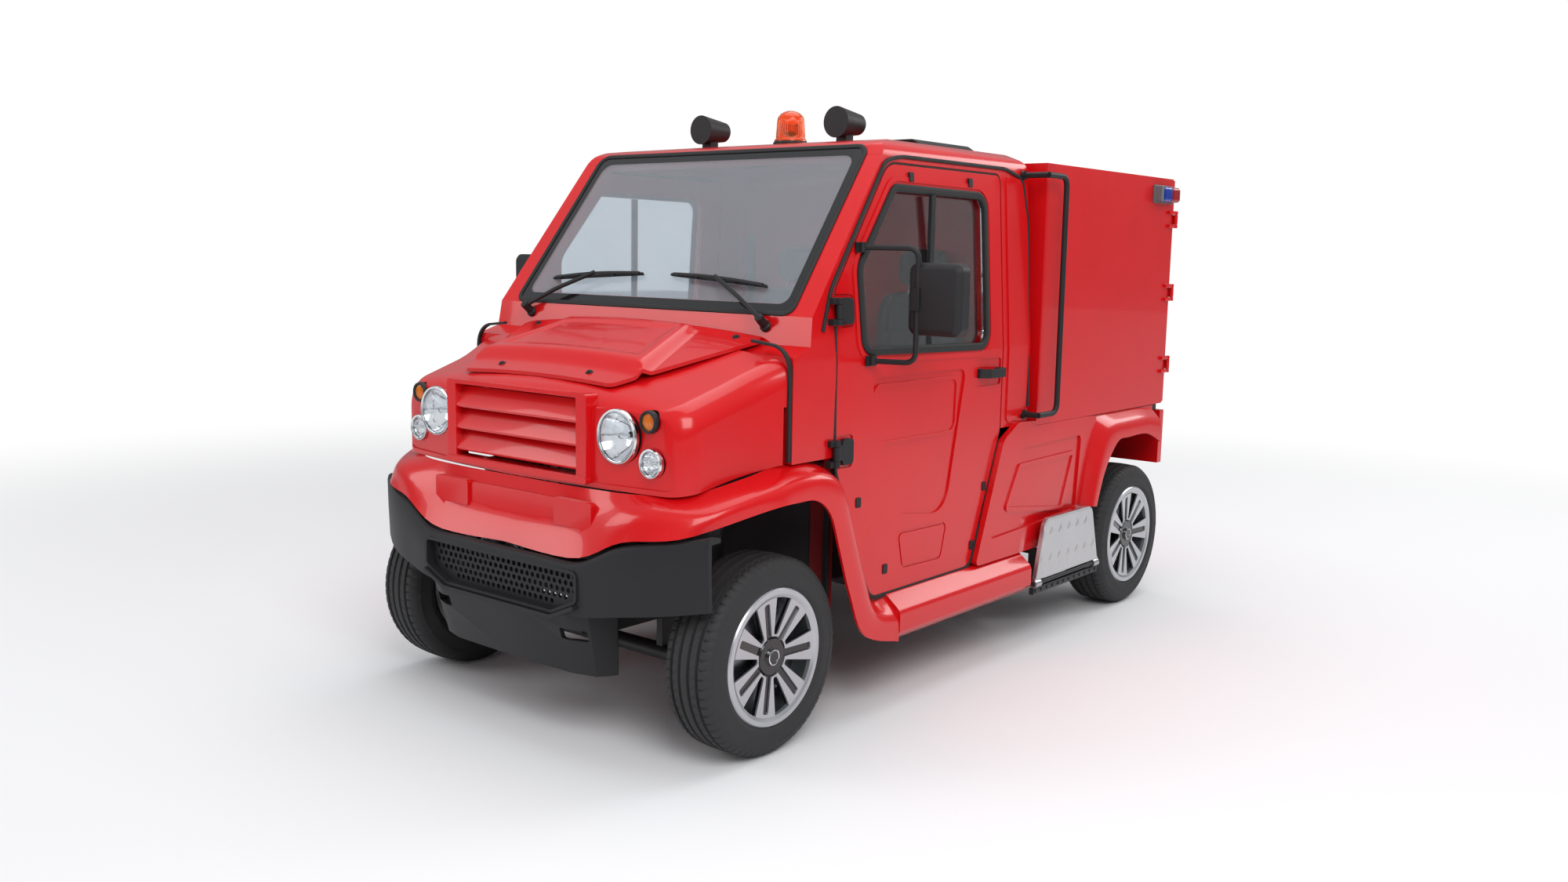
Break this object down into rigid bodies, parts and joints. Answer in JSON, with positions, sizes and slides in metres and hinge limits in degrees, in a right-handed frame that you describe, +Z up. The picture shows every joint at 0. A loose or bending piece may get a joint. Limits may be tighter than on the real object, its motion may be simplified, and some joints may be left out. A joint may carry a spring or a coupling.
{
  "type": "electric fire truck",
  "caption": "Small two-seat electric fire truck with a red cab, black bumper, louvred nose, equipment box, roof beacon and folding side steps.",
  "frame": {"origin": "on the ground, midway between the front of the bumper and the back of the box doors, on the centre line", "axes": "+Z up, -Y forward, +X the vehicle's left-hand side; Y runs along its length"},
  "size_m": [1.93, 2.93, 1.86],
  "materials": {
    "red_paint": "gloss red paint over moulded panels",
    "frame_black": "satin black paint on steel",
    "steel_bare": "machined steel",
    "battery_case": "grey battery case",
    "floor_mat": "ribbed rubber floor covering",
    "glass": "clear safety glass with a faint green-grey tint",
    "black_plastic": "grained black plastic",
    "grey_plastic": "grained dark grey plastic",
    "lamp_clear": "clear lamp lens over a chrome bowl",
    "lamp_amber": "ribbed amber lens",
    "lamp_blue": "blue and red strobe lenses on a grey base",
    "seat_fabric": "dark grey seat covers with stitched seams",
    "tyre": "black tyre rubber with grooved tread",
    "wheel_silver": "black wheel cover with silver spokes",
    "step_aluminium": "diamond plate with a black rubber edge"
  },
  "bodies": {
    "chassis": {"chassis_rails": "frame_black", "cross_members": "frame_black", "chassis_brackets": "frame_black", "front_axle": "frame_black", "rear_axle": "frame_black", "battery_pack": "battery_case", "cab_floor": "floor_mat", "cab_shell": "red_paint", "roof_panel": "red_paint", "windscreen": "glass", "nose_panel": "red_paint", "bonnet": "red_paint", "front_valance": "red_paint", "front_bumper": "black_plastic", "side_skirts": "red_paint", "headlamps": "lamp_clear", "signal_lamps": "lamp_amber", "wipers": "black_plastic", "beacon": "lamp_amber", "horn_speakers": "black_plastic", "roof_hatch": "black_plastic", "dashboard": "grey_plastic", "seats": "seat_fabric", "equipment_box": "red_paint", "bed_frame": "frame_black", "grab_rails": "frame_black", "strobe_lights": "lamp_blue", "rear_panel": "red_paint"},
    "door_left": {"door_left": "red_paint", "door_glass_left": "glass", "mirror_left": "black_plastic"},
    "door_right": {"door_right": "red_paint", "door_glass_right": "glass", "mirror_right": "black_plastic"},
    "box_door_left": {"box_door_left": "red_paint"},
    "box_door_right": {"box_door_right": "red_paint"},
    "steering_wheel": {"steering_wheel": "black_plastic"},
    "knuckle_left": {"knuckle_left": "steel_bare"},
    "knuckle_right": {"knuckle_right": "steel_bare"},
    "front_left_wheel": {"front_left_tyre": "tyre", "front_left_wheel": "wheel_silver"},
    "front_right_wheel": {"front_right_tyre": "tyre", "front_right_wheel": "wheel_silver"},
    "rear_left_wheel": {"rear_left_tyre": "tyre", "rear_left_wheel": "wheel_silver"},
    "rear_right_wheel": {"rear_right_tyre": "tyre", "rear_right_wheel": "wheel_silver"},
    "side_step_left": {"side_step_left": "step_aluminium"},
    "side_step_right": {"side_step_right": "step_aluminium"}
  },
  "joints": [
    {"name": "door_left_swing", "type": "hinge", "parent": "chassis", "child": "door_left", "pos_m": [0.694, -0.789, 0.9], "axis": [0, 0, -1], "range_deg": [0, 70]},
    {"name": "door_right_swing", "type": "hinge", "parent": "chassis", "child": "door_right", "pos_m": [-0.694, -0.789, 0.9], "axis": [0, 0, 1], "range_deg": [0, 70]},
    {"name": "box_door_left_swing", "type": "hinge", "parent": "chassis", "child": "box_door_left", "pos_m": [0.706, 1.457, 1.2], "axis": [0, 0, -1], "range_deg": [0, 110]},
    {"name": "box_door_right_swing", "type": "hinge", "parent": "chassis", "child": "box_door_right", "pos_m": [-0.706, 1.457, 1.2], "axis": [0, 0, 1], "range_deg": [0, 110]},
    {"name": "steer_left", "type": "hinge", "parent": "chassis", "child": "knuckle_left", "pos_m": [0.5625, -1.075, 0.28], "axis": [0, 0, 1], "range_deg": [-30, 30]},
    {"name": "steer_right", "type": "hinge", "parent": "chassis", "child": "knuckle_right", "pos_m": [-0.5625, -1.075, 0.28], "axis": [0, 0, 1], "range_deg": [-30, 30]},
    {"name": "steering_wheel_turn", "type": "hinge", "parent": "chassis", "child": "steering_wheel", "pos_m": [0.31, -0.485, 1.04], "axis": [0, 0.848, 0.5299], "range_deg": [-450, 450]},
    {"name": "front_left_spin", "type": "hinge", "parent": "knuckle_left", "child": "front_left_wheel", "pos_m": [0.6345, -1.075, 0.28], "axis": [1, 0, 0], "continuous": true},
    {"name": "front_right_spin", "type": "hinge", "parent": "knuckle_right", "child": "front_right_wheel", "pos_m": [-0.6345, -1.075, 0.28], "axis": [1, 0, 0], "continuous": true},
    {"name": "rear_left_spin", "type": "hinge", "parent": "chassis", "child": "rear_left_wheel", "pos_m": [0.6345, 1.155, 0.28], "axis": [1, 0, 0], "continuous": true},
    {"name": "rear_right_spin", "type": "hinge", "parent": "chassis", "child": "rear_right_wheel", "pos_m": [-0.6345, 1.155, 0.28], "axis": [1, 0, 0], "continuous": true},
    {"name": "side_step_left_fold", "type": "hinge", "parent": "chassis", "child": "side_step_left", "pos_m": [0.736, 0.575, 0.228], "axis": [0, 1, 0], "range_deg": [0, 90]},
    {"name": "side_step_right_fold", "type": "hinge", "parent": "chassis", "child": "side_step_right", "pos_m": [-0.736, 0.575, 0.228], "axis": [0, -1, 0], "range_deg": [0, 90]}
  ],
  "couplings": [
    {"joint": "steer_right", "follows": "steer_left", "ratio": 1},
    {"joint": "steering_wheel_turn", "follows": "steer_left", "ratio": 15}
  ]
}
